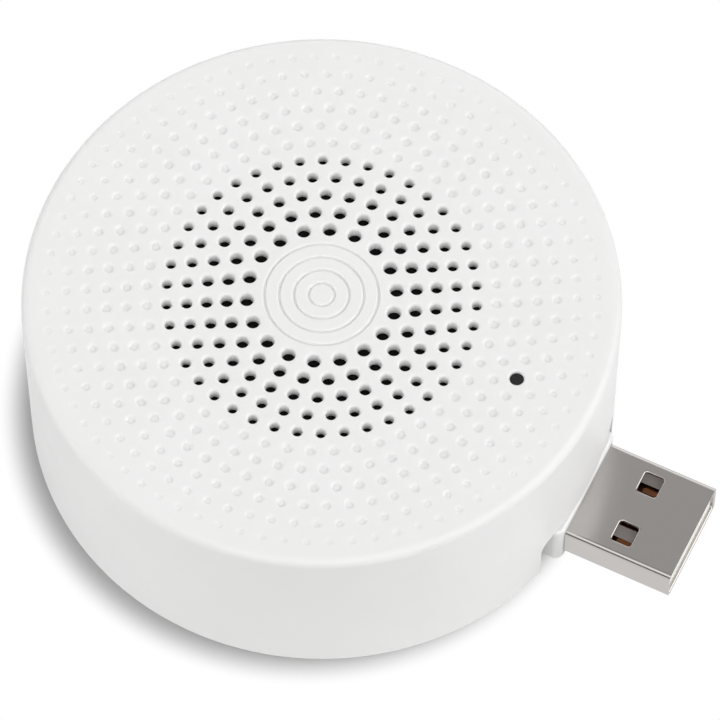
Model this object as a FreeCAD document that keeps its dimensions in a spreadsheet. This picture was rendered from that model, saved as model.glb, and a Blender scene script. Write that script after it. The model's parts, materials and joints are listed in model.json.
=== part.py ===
"""USB doorbell chime: a round speaker puck with a USB plug low on its side.

Millimetres. The origin is the centre of the flat underside, +Z goes up through the grille
and +X runs along the plug. Every driving size is a cell of the sheet and is written once.
"""
import FreeCAD, Part
import math
import os
import re

import Sketcher

Vector = FreeCAD.Vector

SIZES = {
    # Casing
    "body_radius": (31.5, "outside radius of the round casing"),
    "body_height": (23.0, "underside to the face of the grille"),
    "rim_radius": (1.0, "rounding of the top rim"),
    "foot_bevel": (0.3, "bevel of the bottom rim"),
    "side_wall": (1.8, "thickness of the side wall"),
    "top_wall": (1.4, "thickness of the top wall"),
    "rebate": (0.6, "how far the side wall thins to take the base"),
    "base_thickness": (1.6, "plate of the base"),
    "moulding_gap": (0.15, "clearance between the base and the casing"),
    "lip_wall": (1.0, "thickness of the locating lip on the base"),
    "lip_height": (1.2, "height of the locating lip"),
    # Grille
    "first_ring_radius": (7.87, "radius of the innermost ring of holes"),
    "ring_pitch": (2.1, "spacing of the rings"),
    "hole_radius": (0.72, "radius of the innermost holes"),
    "hole_radius_step": (0.05, "how much smaller each ring of holes is than the last"),
    "centre_ring_radius": (6.0, "engraved ring at the centre"),
    "centre_ring_pitch": (1.55, "spacing of the plain rings inside it"),
    "engraving_width": (0.35, "width of an engraved line"),
    "engraving_depth": (0.25, "depth of an engraved line"),
    # Status light
    "light_radius": (0.75, "radius of the hole of the status light"),
    "light_inset": (8.93, "status light inside the outside of the casing"),
    "light_recess": (0.35, "how far the lens lies below the face"),
    "lens_gap": (0.04, "clearance of the lens in its hole"),
    "lens_flange_radius": (1.25, "flange that the lens is glued by"),
    "lens_flange_height": (0.6, "thickness of that flange"),
    "lens_rod_radius": (1.0, "rod that leads the light up"),
    "led_gap": (0.2, "space between the lamp and the rod"),
    # Notch in the side wall for the plug
    "notch_half_width": (9.0, "half the width of the notch"),
    "notch_height": (6.3, "height of the notch"),
    "notch_corner": (1.5, "rounding of its top corners"),
    # USB plug
    "shell_width": (12.0, "width of the plug, a standard size"),
    "shell_height": (4.5, "thickness of the plug, a standard size"),
    "shell_sheet": (0.3, "steel of the plug"),
    "shell_corner": (0.6, "rounding along the plug"),
    "plug_bottom": (0.8, "underside of the plug above the underside of the base"),
    "plug_reach": (12.2, "length of the plug outside the collar"),
    "shell_length": (24.1, "whole length of the plug's steel shell"),
    "window_from_tip": (6.45, "tip of the plug to the middle of its windows"),
    "window_length": (2.2, "window along the plug"),
    "window_width": (2.5, "window across the plug"),
    "window_offset": (3.2, "middle of a window from the plug's centre line"),
    "leg_length": (1.2, "soldered leg along the plug"),
    "leg_from_rear": (2.9, "middle of a leg from the rear of the shell"),
    "leg_rise": (0.8, "how far a leg stands above the board"),
    "leg_slot_gap": (0.25, "clearance round a leg in the board"),
    "tongue_height": (1.95, "thickness of the tongue"),
    "tongue_recess": (0.4, "tongue behind the tip of the shell"),
    "insulator_gap": (0.05, "clearance of the insulator in the shell"),
    "insulator_block": (6.0, "length of the block at the rear of the tongue"),
    "contact_width": (1.0, "width of a contact"),
    "contact_sheet": (0.3, "thickness of a contact"),
    "contact_proud": (0.2, "how far a contact stands above the tongue"),
    "contact_inner": (1.0, "inner contacts from the centre line"),
    "contact_outer": (3.5, "outer contacts from the centre line"),
    "contact_inner_recess": (2.2, "inner contacts behind the tip"),
    "contact_outer_recess": (1.2, "outer contacts behind the tip"),
    "pin_setback": (0.3, "contact pins behind the shell"),
    "pin_width": (0.6, "width of a contact's soldered pin"),
    "pin_hole_radius": (0.45, "hole in the board for a pin"),
    # Collar round the plug
    "plug_fit": (0.05, "clearance of the plug in the collar"),
    "collar_side": (0.9, "collar beside the plug"),
    "collar_above": (0.8, "collar above the plug"),
    "collar_below": (0.45, "collar below the plug"),
    "collar_length": (4.9, "length of the collar"),
    "collar_corner": (1.0, "rounding of its upright corners"),
    "collar_edge": (0.4, "rounding of its top edges"),
    "screen_thickness": (1.0, "upright screen that closes the notch from inside"),
    "screen_overlap": (1.2, "screen past the notch on each side"),
    "screen_above": (0.3, "screen above the notch"),
    # Screws of the base
    "post_setback": (4.1, "axis of a post inside the side wall"),
    "post_radius": (2.8, "posts that take the screws of the base"),
    "post_web": (1.4, "thickness of a post's web"),
    "cup_height": (1.0, "raised cup under each post"),
    "base_head_radius": (2.0, "head of a base screw"),
    "base_head_height": (1.3, "height of that head"),
    "base_head_recess": (0.15, "head below the underside"),
    "head_gap": (0.2, "clearance round a screw head"),
    "base_shank_radius": (1.1, "shank of a base screw"),
    "base_shank_length": (7.0, "length of that shank"),
    "shank_gap": (0.2, "clearance round a shank where it passes through"),
    "screw_slot": (0.5, "width of a driver slot"),
    "screw_slot_depth": (0.5, "depth of a driver slot"),
    # Circuit board and its standoffs
    "board_thickness": (1.2, "circuit board"),
    "board_post_gap": (0.5, "round part of the board inside the posts"),
    "board_tongue": (8.0, "half the width of the board over the plug"),
    "board_front_gap": (0.2, "board behind the screen"),
    "standoff_place": (12.5, "standoffs from the centre line each way"),
    "standoff_radius": (2.2, "standoff"),
    "board_head_radius": (1.8, "head of a board screw"),
    "board_head_height": (1.1, "height of that head"),
    "board_shank_radius": (0.9, "shank of a board screw"),
    "board_shank_length": (4.0, "length of that shank"),
    # Loudspeaker
    "locator_depth": (2.6, "locating ring under the top wall"),
    "locator_wall": (1.0, "thickness of that ring"),
    "locator_gap": (0.2, "clearance round the loudspeaker"),
    "locator_post_gap": (1.6, "locating ring inside the posts"),
    "cloth_thickness": (0.3, "dust cloth behind the grille"),
    "basket_sheet": (0.7, "pressed steel of the basket"),
    "basket_flange": (2.6, "width of the basket's flange"),
    "basket_floor_radius": (10.9, "foot of the basket's slope"),
    "basket_bore": (7.6, "hole in the floor of the basket"),
    "basket_window_start": (1.5, "inner end of a basket window outside the floor"),
    "basket_window_end": (1.4, "outer end of a basket window inside the mouth"),
    "basket_window_half": (2.1, "half the width of a basket window"),
    "cone_sheet": (0.35, "paper of the cone"),
    "cone_margin": (2.6, "outer edge of the cone's slope inside the mouth of the basket"),
    "surround_rise": (0.8, "height of the flat-topped surround"),
    "surround_slope": (0.7, "width of each of its slopes"),
    "surround_lap": (0.2, "surround's slope past the mouth of the basket"),
    "surround_land": (0.4, "surround inside the edge of the flange"),
    "neck_width": (1.2, "flat neck of the cone round the coil"),
    "neck_share": (0.425, "share of the basket's depth at which the neck lies"),
    "dome_rise": (1.85, "height of the dust cap's dome"),
    "dome_land": (0.8, "glued rim of the dust cap"),
    "coil_radius": (7.0, "inside of the voice coil"),
    "coil_wall": (0.45, "thickness of the voice coil"),
    "coil_lift": (1.0, "coil above the floor of the yoke"),
    "yoke_radius": (9.4, "outside of the yoke"),
    "yoke_wall": (1.2, "wall and floor of the yoke"),
    "yoke_height": (3.9, "height of the yoke"),
    "parts_clearance": (1.3, "yoke above the tallest part on the board"),
    "magnet_radius": (6.5, "magnet"),
    "magnet_height": (2.0, "thickness of the magnet"),
    "pole_radius": (6.8, "pole plate"),
    "pole_height": (1.0, "thickness of the pole plate"),
    "clamp_offset": (1.8, "screws that clamp the loudspeaker outside its edge"),
    "clamp_post_radius": (1.6, "posts of those screws"),
    "clamp_head_radius": (2.2, "head of a clamping screw"),
    "clamp_head_height": (0.9, "height of that head"),
    "clamp_shank_radius": (0.8, "shank of a clamping screw"),
    "clamp_shank_length": (2.1, "length of that shank"),
    # Terminals and wires of the loudspeaker
    "terminal_board_lap": (1.7, "terminal board under the loudspeaker's flange"),
    "terminal_board_reach": (2.4, "terminal board outside the flange"),
    "terminal_board_half": (3.4, "half the width of the terminal board"),
    "terminal_board_sheet": (0.6, "thickness of the terminal board"),
    "terminal_spread": (1.9, "terminals from the centre line"),
    "terminal_radius": (0.7, "solder on a terminal"),
    "terminal_height": (0.5, "height of the solder"),
    "wire_radius": (0.4, "loudspeaker wire"),
    "connector_inset": (4.35, "connector inside the terminals"),
    "wire_spread": (1.25, "wires from the centre line at the connector"),
    "wire_way_gap": (0.15, "clearance round a wire in the connector"),
    "wire_way_depth": (1.2, "depth of the ways for the wires"),
    "wire_top_share": (0.32, "share of the drop where a wire hangs straight under its terminal"),
    "wire_foot_share": (0.38, "share of the drop where a wire stands straight over the connector"),
    # Parts on the board
    "lead_sheet": (0.25, "thickness of a chip's leads"),
    "lead_width": (0.4, "width of a chip's lead"),
    "lead_reach": (1.0, "lead outside the package"),
    "package_stand": (0.1, "package above the board"),
    "shield_rounding": (0.4, "rounding of the radio's screening can"),
    "choke_rounding": (0.7, "rounding of the choke"),
    "capacitor_base": (0.9, "plastic base of a capacitor"),
    "capacitor_radius": (2.5, "can of a capacitor"),
    "resistor_spacing": (2.2, "spacing of the resistors in a row"),
    "regulator_setback": (4.0, "voltage regulator behind the plug's pins"),
    "first_capacitor_setback": (3.5, "first capacitor behind the plug's pins"),
    "regulator_across": (6.0, "voltage regulator to the left of the plug's line"),
    "first_capacitor_across": (-6.0, "first capacitor to the left of that line"),
}

# Parts on the board: length along X, width across, height
PACKAGES = {
    "processor": (7.0, 5.0, 1.4),
    "sound_memory": (5.0, 4.0, 1.6),
    "audio_amplifier": (5.0, 4.0, 1.6),
    "voltage_regulator": (4.6, 2.5, 1.5),
    "crystal": (5.0, 3.2, 1.1),
    "choke": (5.0, 5.0, 2.6),
    "radio_board": (13.0, 10.0, 0.8),
    "radio_shield": (10.4, 8.0, 1.7),
    "chip_antenna": (7.0, 2.0, 1.0),
    "status_led": (1.6, 1.2, 0.75),
    "speaker_connector": (3.6, 6.0, 3.6),
    "capacitor": (5.2, 5.2, 6.0),
    "resistor": (1.6, 0.8, 0.45),
}
# Their places from the centre of the casing, along X and across
PLACES = {
    "processor": (0.0, 0.0),
    "sound_memory": (6.8, -7.0),
    "audio_amplifier": (-8.0, -6.5),
    "crystal": (0.0, -6.5),
    "choke": (6.6, 6.8),
    "radio_board": (-4.0, 11.5),
    "radio_shield": (-4.0, 12.0),
    "chip_antenna": (-2.0, 19.2),
    "second_capacitor": (4.0, -17.5),
    "inner_resistors": (-7.0, 4.9),
    "outer_resistors": (-6.0, -11.6),
}


def name_cells(table, columns):
    """Give each value of a table a size of its own."""
    for label, values in table.items():
        for column, value in zip(columns, values):
            SIZES[f"{label}_{column}"] = (value, f"{label} {column}".replace("_", " "))


name_cells(PACKAGES, ("length", "width", "height"))
name_cells(PLACES, ("along", "across"))

doc = FreeCAD.newDocument("usb_doorbell_chime")
sheet = doc.addObject("Spreadsheet::Sheet", "sizes")
for row, (alias, (value, note)) in enumerate(SIZES.items(), start=1):
    sheet.set(f"A{row}", alias)
    sheet.set(f"B{row}", str(value))
    sheet.set(f"C{row}", note)
    sheet.setAlias(f"B{row}", alias)
doc.recompute()

sub_parts = []

# Places that several pieces share, as expressions of the sizes
inner_radius = "(body_radius - side_wall)"
seat_radius = "(body_radius - side_wall + rebate)"
ceiling = "(body_height - top_wall)"
light_place = "(body_radius - light_inset)"
plug_top = "(plug_bottom + shell_height)"
plug_tip = "(body_radius + plug_reach)"
shell_rear = "(body_radius + plug_reach - shell_length)"
leg_place = "(body_radius + plug_reach - shell_length + leg_from_rear)"
pin_place = "(body_radius + plug_reach - shell_length - pin_setback - contact_sheet)"
tongue_top = "(plug_bottom + shell_sheet + tongue_height)"
collar_back = "(body_radius - collar_length)"
screen_back = "(body_radius - collar_length - screen_thickness)"
passage_half = "(shell_width / 2 + plug_fit)"
board_top = "(plug_bottom + shell_height + board_thickness)"
post_foot = "(base_thickness + cup_height)"
screw_circle = "(body_radius - side_wall - post_setback)"
board_radius = f"({screw_circle} - post_radius - board_post_gap)"
locator_outer = f"({screw_circle} - post_radius - locator_post_gap)"
locator_inner = f"({locator_outer} - locator_wall)"
speaker_radius = f"({locator_inner} - locator_gap)"
clamp_circle = f"({speaker_radius} + clamp_offset)"
flange_bottom = "(body_height - top_wall - locator_depth)"
flange_top = f"({flange_bottom} + basket_sheet)"
cloth_bottom = "(body_height - top_wall - cloth_thickness)"
yoke_bottom = f"({board_top} + choke_height + parts_clearance)"
magnet_bottom = f"({yoke_bottom} + yoke_wall)"
basket_floor = f"({yoke_bottom} + yoke_height)"
basket_depth = f"({flange_bottom} - {basket_floor})"
basket_mouth = f"({speaker_radius} - basket_flange)"
coil_bottom = f"({magnet_bottom} + coil_lift)"
coil_top = f"({basket_floor} + basket_sheet + neck_share * {basket_depth})"
terminal_start = f"({speaker_radius} - terminal_board_lap)"
terminal_end = f"({speaker_radius} + terminal_board_reach)"
terminal_place = f"(({terminal_start} + {terminal_end}) / 2)"
terminal_underside = f"({flange_bottom} - terminal_board_sheet)"


def size(alias):
    """Value of one cell of the sheet."""
    return float(sheet.get(alias))


def bound(expression):
    """Point every size that an expression names at its cell of the sheet."""
    def cell(word):
        name = word.group()
        return f"sizes.{name}" if name in SIZES else name
    return re.sub("[a-z][a-z_]+", cell, str(expression))


def worked_out(expression):
    """Value of an expression of the sizes, read off a gauge point that is placed by it."""
    gauge = doc.addObject("Part::Vertex", "gauge")
    gauge.setExpression("X", bound(expression))
    gauge.recompute()
    value = gauge.X.Value
    doc.removeObject(gauge.Name)
    return value


# Where a sketch's curves start, before their sizes place them
START_OUTLINE = 10.0
START_CENTRE = 1.0
START_CIRCLE = 2.0
# Differences smaller than this count as none
TOLERANCE = 1e-4


def near(first, second):
    return abs(first - second) < TOLERANCE


def origin_plane(body, role):
    for feature in body.Origin.OriginFeatures:
        if feature.Role == role:
            return feature
    raise ValueError(f"{body.Label} has no {role}")


def new_body(label, x=None, y=None, z=None):
    """A sub-part of its own, placed by expressions where it has a place of its own."""
    body = doc.addObject("PartDesign::Body", label)
    body.Label = label
    for axis, place in (("x", x), ("y", y), ("z", z)):
        if place is not None:
            body.setExpression(f"Placement.Base.{axis}", bound(place))
    sub_parts.append(body)
    return body


def new_sketch(body, name, role="XY_Plane", height=None, turn=None):
    """A sketch on an origin plane, lifted along its normal and turned about it where asked."""
    sketch = body.newObject("Sketcher::SketchObject", f"{body.Name}_{name}")
    sketch.AttachmentSupport = (origin_plane(body, role), [""])
    sketch.MapMode = "FlatFace"
    if height is not None:
        sketch.setExpression("AttachmentOffset.Base.z", bound(height))
    if turn is not None:
        sketch.AttachmentOffset = FreeCAD.Placement(Vector(), FreeCAD.Rotation(Vector(0, 0, 1), turn))
    return sketch


def hold(sketch, kind, geometry, point, start, expression):
    """Tie one coordinate of a point to an expression, measured from the sketch's origin."""
    index = sketch.addConstraint(Sketcher.Constraint(kind, -1, 1, geometry, point, start))
    sketch.setExpression(f"Constraints[{index}]", bound(expression))


def draw_outline(sketch, corners):
    """A closed outline of straight lines through corners given as pairs of expressions."""
    count = len(corners)
    first = sketch.GeometryCount
    turns = [2 * math.pi * index / count for index in range(count)]
    start = [Vector(math.cos(turn), math.sin(turn), 0) * START_OUTLINE for turn in turns]
    for index in range(count):
        sketch.addGeometry(Part.LineSegment(start[index], start[(index + 1) % count]))
    for index in range(count):
        after = first + (index + 1) % count
        sketch.addConstraint(Sketcher.Constraint("Coincident", first + index, 2, after, 1))
    for index, (across, up) in enumerate(corners):
        hold(sketch, "DistanceX", first + index, 1, start[index].x, across)
        hold(sketch, "DistanceY", first + index, 1, start[index].y, up)


def draw_rectangle(sketch, left, right, bottom, top):
    draw_outline(sketch, [(left, bottom), (right, bottom), (right, top), (left, top)])


def draw_circle(sketch, radius, x="0", y="0"):
    centre = Vector(START_CENTRE, START_CENTRE, 0)
    circle = sketch.addGeometry(Part.Circle(centre, Vector(0, 0, 1), START_CIRCLE))
    hold(sketch, "DistanceX", circle, 3, START_CENTRE, x)
    hold(sketch, "DistanceY", circle, 3, START_CENTRE, y)
    index = sketch.addConstraint(Sketcher.Constraint("Radius", circle, START_CIRCLE))
    sketch.setExpression(f"Constraints[{index}]", bound(radius))


def extrude(body, kind, sketch, length, reverse=False, symmetric=False):
    feature = body.newObject(kind, f"{sketch.Name}_{kind.split('::')[1]}")
    feature.Profile = sketch
    if length == "through":
        feature.Type = "ThroughAll"
    else:
        feature.setExpression("Length", bound(length))
    feature.Reversed = reverse
    if symmetric:
        feature.SideType = "Symmetric"
    return feature


def pad(body, sketch, length, **options):
    return extrude(body, "PartDesign::Pad", sketch, length, **options)


def pocket(body, sketch, length, **options):
    """Cut a sketch into the body, and make sure that the cut took material away."""
    doc.recompute()
    before = body.Tip.Shape.Volume
    feature = extrude(body, "PartDesign::Pocket", sketch, length, **options)
    doc.recompute()
    if feature.Shape.Volume > before - TOLERANCE:
        raise RuntimeError(f"{feature.Name} cuts nothing")
    return feature


def around(body, features, sketch, count):
    """Repeat features evenly round the sketch's own axis."""
    pattern = body.newObject("PartDesign::PolarPattern", f"{sketch.Name}_around")
    pattern.Originals = features
    pattern.Axis = (sketch, ["N_Axis"])
    pattern.Angle = 360
    pattern.Occurrences = count
    body.Tip = pattern
    return pattern


def spin(body, sketch):
    """Turn a sketch of the radial section about the upright axis."""
    feature = body.newObject("PartDesign::Revolution", f"{sketch.Name}_turned")
    feature.Profile = sketch
    feature.ReferenceAxis = (sketch, ["V_Axis"])
    return feature


def dress_edges(body, kind, measure, value, test):
    """Fillet or chamfer each edge of the body so far for which the test holds."""
    doc.recompute()
    base = body.Tip
    chosen = [f"Edge{index}" for index, edge in enumerate(base.Shape.Edges, start=1) if test(edge)]
    if not chosen:
        raise RuntimeError(f"{body.Label} has no edge for its {kind}")
    feature = body.newObject(f"PartDesign::{kind}", f"{base.Name}_{kind.lower()}")
    feature.Base = (base, chosen)
    feature.setExpression(measure, bound(value))
    return feature


def round_edges(body, radius, test):
    return dress_edges(body, "Fillet", "Radius", radius, test)


def bevel_edges(body, width, test):
    return dress_edges(body, "Chamfer", "Size", width, test)


def turned_section(label, corners):
    """A round piece from the outline of its radial section."""
    body = new_body(label)
    section = new_sketch(body, "section", "XZ_Plane")
    draw_outline(section, corners)
    spin(body, section)
    return body


def polar(distance, angle):
    """A point at a distance expression and an angle in degrees."""
    return f"({distance}) * cos({angle})", f"({distance}) * sin({angle})"


def polar_places(distance, first_angle, count):
    """Points spread evenly round the axis."""
    return [polar(distance, first_angle + index * 360 / count) for index in range(count)]


def plain_feature(label, shape):
    """A piece whose shape is made directly, for forms that a sketch can't give."""
    feature = doc.addObject("Part::Feature", label)
    feature.Label = label
    feature.Shape = shape
    feature.Placement = FreeCAD.Placement()
    sub_parts.append(feature)
    return feature


# Counts, and angles in degrees
RING_COUNT = 5
FIRST_RING_COUNT = 18
RING_COUNT_STEP = 6
GRILLE_ANGLE = 30
CENTRE_RING_COUNT = 4
POST_COUNT = 3
POST_ANGLE = 60
CLAMP_COUNT = 3
CLAMP_ANGLE = 30
BASKET_WINDOW_COUNT = 6
RESISTOR_COUNT = 5
STANDOFF_SIGNS = [(1, 1), (-1, 1), (-1, -1), (1, -1)]
# Leads along each long side of a chip
LEAD_COUNTS = {
    "processor": 8,
    "sound_memory": 4,
    "audio_amplifier": 4,
    "voltage_regulator": 3,
}
# Share of the shorter run that each bend of a wire takes up
WIRE_BEND_SHARE = 0.45


def make_housing():
    """Top and side wall in one moulding, with the grille, the notch and the posts inside."""
    body = new_body("housing")
    section = new_sketch(body, "section", "XZ_Plane")
    draw_outline(section, [
        ("body_radius", "0"),
        ("body_radius", "body_height"),
        ("0", "body_height"),
        ("0", ceiling),
        (inner_radius, ceiling),
        (inner_radius, "base_thickness"),
        (seat_radius, "base_thickness"),
        (seat_radius, "0"),
    ])
    spin(body, section)

    locator = new_sketch(body, "locator", height=ceiling)
    draw_circle(locator, locator_outer)
    draw_circle(locator, locator_inner)
    pad(body, locator, "locator_depth", reverse=True)

    clamp_post = new_sketch(body, "clamp_post", height=ceiling)
    draw_circle(clamp_post, "clamp_post_radius", *polar(clamp_circle, CLAMP_ANGLE))
    posts = pad(body, clamp_post, "locator_depth", reverse=True)
    around(body, [posts], clamp_post, CLAMP_COUNT)
    clamp_pilot = new_sketch(body, "clamp_pilot", height=flange_bottom)
    draw_circle(clamp_pilot, "clamp_shank_radius", *polar(clamp_circle, CLAMP_ANGLE))
    pilots = pocket(body, clamp_pilot, "clamp_shank_length", reverse=True)
    around(body, [pilots], clamp_pilot, CLAMP_COUNT)

    post = new_sketch(body, "post", height=post_foot)
    draw_circle(post, "post_radius", *polar(screw_circle, POST_ANGLE))
    post_pad = pad(body, post, f"{ceiling} - {post_foot}")
    around(body, [post_pad], post, POST_COUNT)
    web = new_sketch(body, "web", height=post_foot, turn=POST_ANGLE)
    draw_rectangle(web, screw_circle, seat_radius, "-post_web / 2", "post_web / 2")
    web_pad = pad(body, web, f"{ceiling} - {post_foot}")
    around(body, [web_pad], web, POST_COUNT)
    pilot = new_sketch(body, "pilot", height=post_foot)
    draw_circle(pilot, "base_shank_radius", *polar(screw_circle, POST_ANGLE))
    pilot_pocket = pocket(body, pilot, "base_shank_length", reverse=True)
    around(body, [pilot_pocket], pilot, POST_COUNT)

    notch = new_sketch(body, "notch", "YZ_Plane", height=collar_back)
    draw_rectangle(notch, "-notch_half_width", "notch_half_width", "-side_wall", "notch_height")
    pocket(body, notch, "through", reverse=True)
    round_edges(body, "notch_corner", is_notch_corner)
    round_edges(body, "rim_radius", lambda edge: is_ring(edge, size("body_radius"), size("body_height")))
    bevel_edges(body, "foot_bevel", is_foot_edge)

    for ring in range(RING_COUNT):
        holes = new_sketch(body, f"ring_{ring + 1}", height="body_height")
        place = polar(f"first_ring_radius + {ring} * ring_pitch", GRILLE_ANGLE)
        draw_circle(holes, f"hole_radius - {ring} * hole_radius_step", *place)
        hole = pocket(body, holes, "top_wall")
        around(body, [hole], holes, FIRST_RING_COUNT + ring * RING_COUNT_STEP)

    light = new_sketch(body, "light", height="body_height")
    draw_circle(light, "light_radius", light_place)
    pocket(body, light, "top_wall")
    for ring in range(CENTRE_RING_COUNT):
        engraving = new_sketch(body, f"engraving_{ring + 1}", height="body_height")
        middle = f"centre_ring_radius - {ring} * centre_ring_pitch"
        draw_circle(engraving, f"{middle} + engraving_width / 2")
        draw_circle(engraving, f"{middle} - engraving_width / 2")
        pocket(body, engraving, "engraving_depth")
    return body


def is_along_plug(edge):
    return isinstance(edge.Curve, Part.Line) and near(abs(edge.Curve.Direction.x), 1)


def is_upright(edge):
    return isinstance(edge.Curve, Part.Line) and near(abs(edge.Curve.Direction.z), 1)


def is_ring(edge, radius, height):
    """Whether an edge is a circle or an arc about the upright axis at this radius and height."""
    if not isinstance(edge.Curve, Part.Circle):
        return False
    centre = edge.Curve.Center
    on_axis = near(centre.x, 0) and near(centre.y, 0)
    return on_axis and near(edge.Curve.Radius, radius) and near(centre.z, height)


def is_foot_edge(edge):
    return is_ring(edge, size("body_radius"), 0)


def is_notch_corner(edge):
    """Whether an edge runs along X through the casing's wall at a top corner of the notch."""
    middle = edge.CenterOfMass
    at_corner = near(abs(middle.y), size("notch_half_width")) and near(middle.z, size("notch_height"))
    return at_corner and is_along_plug(edge)


def make_base_cover():
    """Base plate with its lip, screw cups, standoffs and the collar that holds the plug."""
    body = new_body("base_cover")
    plate = new_sketch(body, "plate")
    draw_circle(plate, f"{seat_radius} - moulding_gap")
    pad(body, plate, "base_thickness")
    bevel_edges(body, "foot_bevel", lambda edge: near(edge.CenterOfMass.z, 0))

    lip = new_sketch(body, "lip", height="base_thickness")
    draw_circle(lip, f"{inner_radius} - moulding_gap")
    draw_circle(lip, f"{inner_radius} - moulding_gap - lip_wall")
    pad(body, lip, "lip_height")

    cup = new_sketch(body, "cup", height="base_thickness")
    draw_circle(cup, "post_radius", *polar(screw_circle, POST_ANGLE))
    cup_pad = pad(body, cup, "cup_height")
    around(body, [cup_pad], cup, POST_COUNT)
    # The lip stops short of the webs of the casing's posts
    web_slot = new_sketch(body, "web_slot", height="base_thickness", turn=POST_ANGLE)
    slot_side = "post_web / 2 + moulding_gap"
    slot_start = f"{screw_circle} + post_radius"
    draw_rectangle(web_slot, slot_start, "body_radius", f"-({slot_side})", slot_side)
    slot = pocket(body, web_slot, "lip_height + cup_height", reverse=True)
    around(body, [slot], web_slot, POST_COUNT)

    recess = new_sketch(body, "screw_recess")
    draw_circle(recess, "base_head_radius + head_gap", *polar(screw_circle, POST_ANGLE))
    recess_pocket = pocket(body, recess, "base_head_recess + base_head_height", reverse=True)
    around(body, [recess_pocket], recess, POST_COUNT)
    passage = new_sketch(body, "screw_passage")
    draw_circle(passage, "base_shank_radius + shank_gap", *polar(screw_circle, POST_ANGLE))
    passage_pocket = pocket(body, passage, post_foot, reverse=True)
    around(body, [passage_pocket], passage, POST_COUNT)

    standoffs = new_sketch(body, "standoffs", height="base_thickness")
    pilots = new_sketch(body, "standoff_pilots", height=plug_top)
    for across, along in STANDOFF_SIGNS:
        place = (f"{across} * standoff_place", f"{along} * standoff_place")
        draw_circle(standoffs, "standoff_radius", *place)
        draw_circle(pilots, "board_shank_radius", *place)
    pad(body, standoffs, f"{plug_top} - base_thickness")
    pocket(body, pilots, "board_shank_length - board_thickness")

    opening = new_sketch(body, "notch_floor")
    draw_rectangle(opening, collar_back, "body_radius", "-notch_half_width", "notch_half_width")
    pocket(body, opening, "base_thickness + lip_height", reverse=True)

    screen = new_sketch(body, "screen", "YZ_Plane", height=screen_back)
    screen_side = "notch_half_width + screen_overlap"
    screen_top = "notch_height + screen_above"
    draw_rectangle(screen, f"-({screen_side})", screen_side, "base_thickness", screen_top)
    pad(body, screen, "screen_thickness")
    collar = new_sketch(body, "collar", "YZ_Plane", height=collar_back)
    collar_half = "shell_width / 2 + collar_side"
    collar_low = "plug_bottom - collar_below"
    collar_high = f"{plug_top} + collar_above"
    draw_rectangle(collar, f"-({collar_half})", collar_half, collar_low, collar_high)
    pad(body, collar, "collar_length")
    round_edges(body, "collar_corner", is_collar_corner)
    round_edges(body, "collar_edge", is_collar_top_edge)

    plug_way = new_sketch(body, "plug_way", "YZ_Plane", height=f"{shell_rear} - plug_fit")
    draw_rectangle(plug_way, f"-{passage_half}", passage_half, "plug_bottom", f"{plug_top} + plug_fit")
    pocket(body, plug_way, "shell_length", reverse=True)
    return body


def is_collar_corner(edge):
    """Whether an edge is one of the collar's two upright front corners."""
    middle = edge.CenterOfMass
    half_width = size("shell_width") / 2 + size("collar_side")
    at_corner = near(middle.x, size("body_radius")) and near(abs(middle.y), half_width)
    return at_corner and is_upright(edge)


def is_collar_top_edge(edge):
    """Whether an edge lies round the top of the collar, apart from its root."""
    top = size("plug_bottom") + size("shell_height") + size("collar_above")
    box = edge.BoundBox
    level = near(box.ZMin, top) and near(box.ZMax, top)
    root = size("body_radius") - size("collar_length")
    return level and not near(edge.CenterOfMass.x, root)


def make_grille_parts():
    """Dust cloth behind the grille and the ring of foam between it and the loudspeaker."""
    cloth = new_body("grille_cloth")
    disc = new_sketch(cloth, "disc", height=cloth_bottom)
    draw_circle(disc, speaker_radius)
    pad(cloth, disc, "cloth_thickness")
    gasket = new_body("speaker_gasket")
    ring = new_sketch(gasket, "ring", height=f"{flange_top} + cone_sheet")
    draw_circle(ring, f"{speaker_radius} - surround_land")
    draw_circle(ring, f"{basket_mouth} + surround_lap")
    pad(gasket, ring, f"{cloth_bottom} - {flange_top} - cone_sheet")


def make_light():
    """Smoked lens with its light rod, and the lamp under it on the board."""
    rod_bottom = f"{board_top} + status_led_height + led_gap"
    lens_top = "body_height - light_recess"
    flange_low = f"{ceiling} - lens_flange_height"
    body = new_body("light_pipe", x=light_place)
    section = new_sketch(body, "section", "XZ_Plane")
    draw_outline(section, [
        ("0", rod_bottom),
        ("lens_rod_radius", rod_bottom),
        ("lens_rod_radius", flange_low),
        ("lens_flange_radius", flange_low),
        ("lens_flange_radius", ceiling),
        ("light_radius - lens_gap", ceiling),
        ("light_radius - lens_gap", lens_top),
        ("0", lens_top),
    ])
    spin(body, section)
    make_block("status_led", x=light_place, y="0")


def make_block(label, z=board_top, x=None, y=None):
    """A rectangular part from its own cells of the sheet, centred on its place."""
    body = new_body(label, x=x or f"{label}_along", y=y or f"{label}_across", z=z)
    outline = new_sketch(body, "outline")
    half_length = f"{label}_length / 2"
    half_width = f"{label}_width / 2"
    draw_rectangle(outline, f"-{half_length}", half_length, f"-{half_width}", half_width)
    pad(body, outline, f"{label}_height")
    return body


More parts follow.
